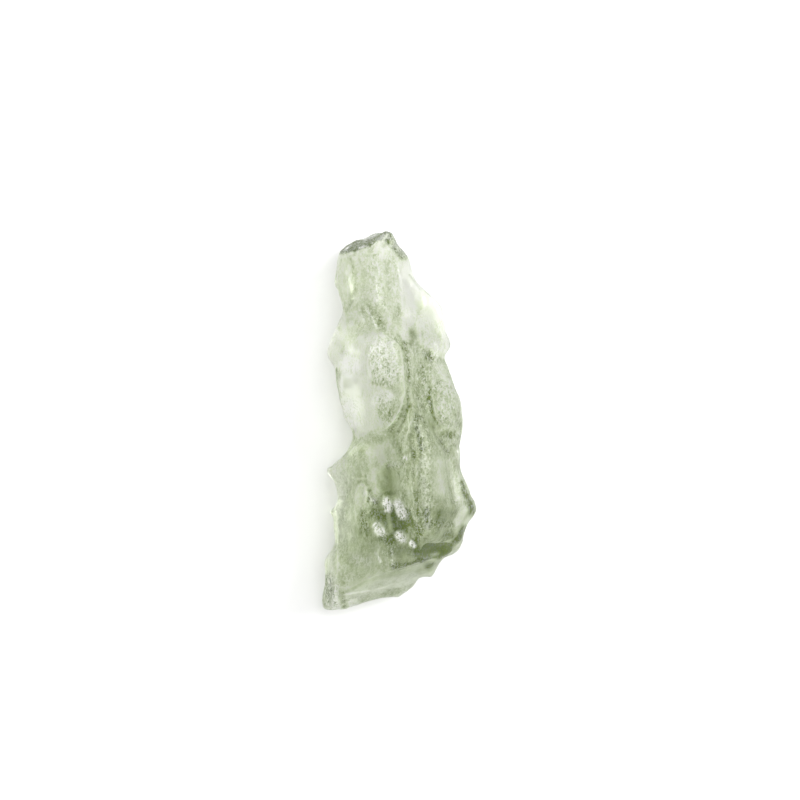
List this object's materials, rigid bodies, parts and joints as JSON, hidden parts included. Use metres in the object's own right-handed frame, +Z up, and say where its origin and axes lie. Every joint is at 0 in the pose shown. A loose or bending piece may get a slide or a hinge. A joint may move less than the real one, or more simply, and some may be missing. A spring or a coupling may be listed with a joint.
{
  "type": "moldavite stone",
  "caption": "Natural splinter of green impact glass with an etched, scalloped skin, lying on its flatter side.",
  "frame": {"origin": "under the middle of the stone's box, on the surface that it rests on", "axes": "+Z up out of the rest face, +Y along the stone towards its narrow broken end"},
  "size_m": [0.0124, 0.03, 0.0081],
  "materials": {
    "moldavite_glass": "etched, frosted in the pits and clear on the rims"
  },
  "bodies": {
    "root": {"moldavite": "moldavite_glass"}
  },
  "joints": []
}
